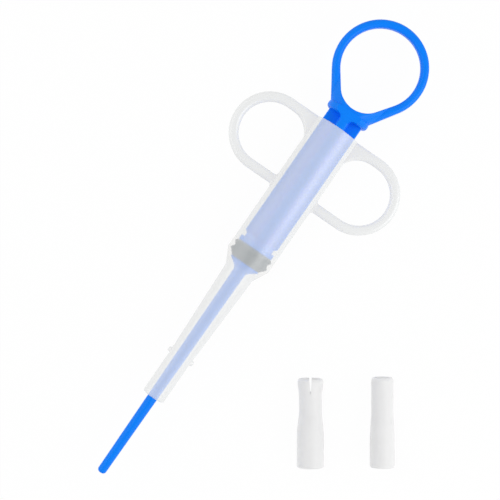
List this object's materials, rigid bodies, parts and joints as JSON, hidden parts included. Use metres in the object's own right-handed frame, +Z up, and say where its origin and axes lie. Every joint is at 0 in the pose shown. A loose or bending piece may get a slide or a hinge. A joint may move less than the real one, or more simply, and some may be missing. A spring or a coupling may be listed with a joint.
{
  "type": "oral syringe",
  "caption": "Oral dosing syringe with finger rings and a thumb ring, a lipped seal, a push rod through its long nozzle and loose soft push-on tips.",
  "frame": {"origin": "centre of the nozzle's end, on the barrel's axis", "axes": "+X along the barrel from the nozzle to the thumb ring, +Y across both finger rings, +Z up from the surface that the syringe lies on"},
  "size_m": [0.1847, 0.1148, 0.0166],
  "materials": {
    "frosted_polypropylene": "translucent natural polypropylene, moulded satin",
    "blue_polypropylene": "moulded, half gloss",
    "grey_rubber": "moulded, matt",
    "white_silicone": "translucent white, matt"
  },
  "bodies": {
    "barrel": {"barrel": "frosted_polypropylene"},
    "seal": {"plunger_seal": "grey_rubber"},
    "plunger": {"plunger": "blue_polypropylene"},
    "slotted_tip": {"slotted_tip": "white_silicone"},
    "plain_tip": {"plain_tip": "white_silicone"}
  },
  "joints": [
    {"name": "plunger_slide", "type": "slide", "parent": "barrel", "child": "seal", "axis": [1, 0, 0], "range_m": [0, 0.045]},
    {"name": "plunger_turn", "type": "hinge", "parent": "seal", "child": "plunger", "pos_m": [0.05865, 0, 0], "axis": [1, 0, 0], "continuous": true},
    {"name": "slotted_tip_lift", "type": "slide", "parent": "barrel", "child": "slotted_tip", "axis": [0, 0, 1], "range_m": [0, 0.06]},
    {"name": "plain_tip_lift", "type": "slide", "parent": "barrel", "child": "plain_tip", "axis": [0, 0, 1], "range_m": [0, 0.06]}
  ]
}
